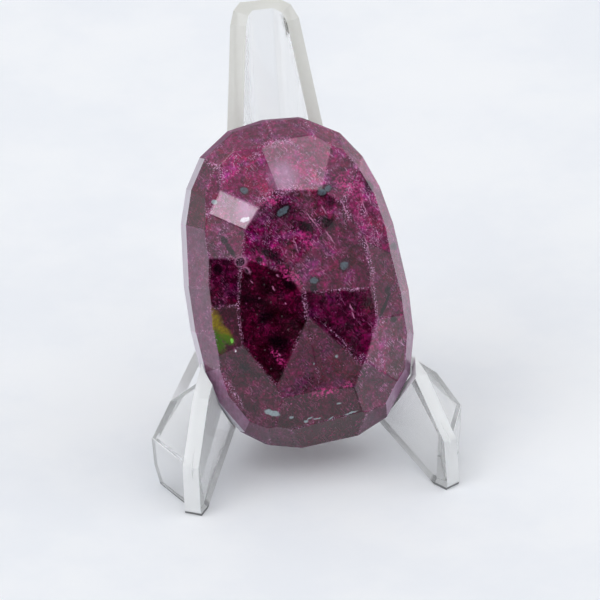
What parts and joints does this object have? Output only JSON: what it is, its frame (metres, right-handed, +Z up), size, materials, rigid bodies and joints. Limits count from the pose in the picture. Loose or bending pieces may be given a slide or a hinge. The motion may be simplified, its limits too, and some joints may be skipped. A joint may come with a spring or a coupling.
{
  "type": "ruby gemstone on easel",
  "caption": "Large oval faceted ruby with a flat back, leaning on a small folded clear plastic display easel with two forward feet.",
  "frame": {"origin": "middle of the bounding box at floor level, under the easel", "axes": "+Z up, -Y towards the front of the stone, +X to the viewer's right"},
  "size_m": [0.0512, 0.0504, 0.0652],
  "materials": {
    "ruby": "polished natural corundum, semi-opaque, with pale needles and dark inclusions",
    "easel": "clear polished plastic"
  },
  "bodies": {
    "root": {"ruby": "ruby", "easel": "easel"}
  },
  "joints": []
}
